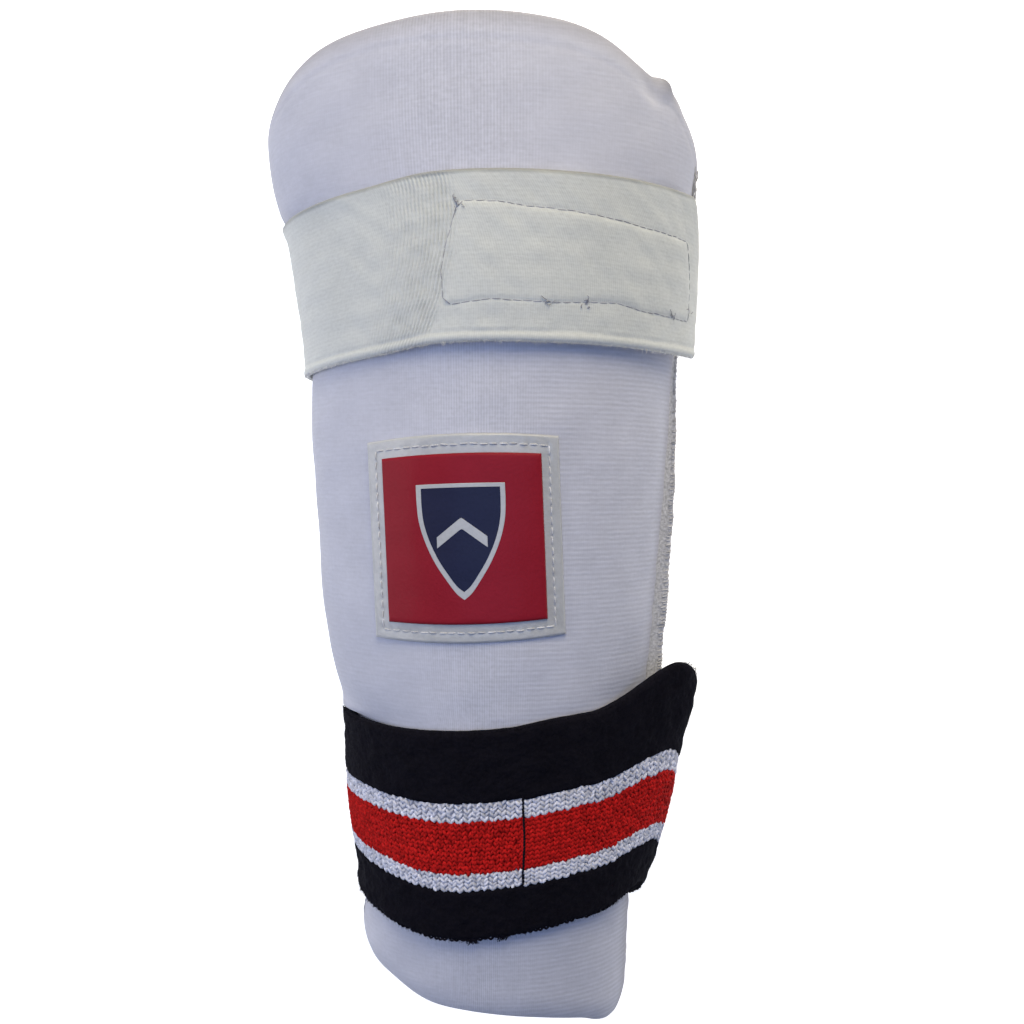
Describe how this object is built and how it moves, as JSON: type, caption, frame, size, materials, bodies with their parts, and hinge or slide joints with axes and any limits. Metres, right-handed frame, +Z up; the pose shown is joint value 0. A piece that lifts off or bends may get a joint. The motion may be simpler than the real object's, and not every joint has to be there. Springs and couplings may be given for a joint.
{
  "type": "elbow guard",
  "caption": "Padded half-pipe guard for elbow and forearm, lying on its open side, with an elastic upper strap, a striped knitted forearm band and a sewn label.",
  "frame": {"origin": "middle of the footprint, on the surface that the guard lies on", "axes": "+Y from the wrist end to the upper-arm end, +Z up out of the padded front, +X to the right as seen from above"},
  "size_m": [0.129, 0.2801, 0.0571],
  "materials": {
    "cover": "fine white tricot knit, matte",
    "edge_thread": "white overlock thread, matte",
    "elastic": "woven elastic webbing with fine ribs, matte",
    "hook_tape": "white nylon hook tape",
    "knit": "knitted wool blend with black pile and white and red stripes",
    "label_border": "clear-coated white vinyl",
    "label_panel": "glossy red vinyl"
  },
  "bodies": {
    "root": {"pad": "cover", "side_seam_left": "edge_thread", "side_seam_right": "edge_thread", "elastic_strap": "elastic", "hook_patch": "hook_tape", "knit_band": "knit", "label_base": "label_border", "label_panel": "label_panel"}
  },
  "joints": []
}
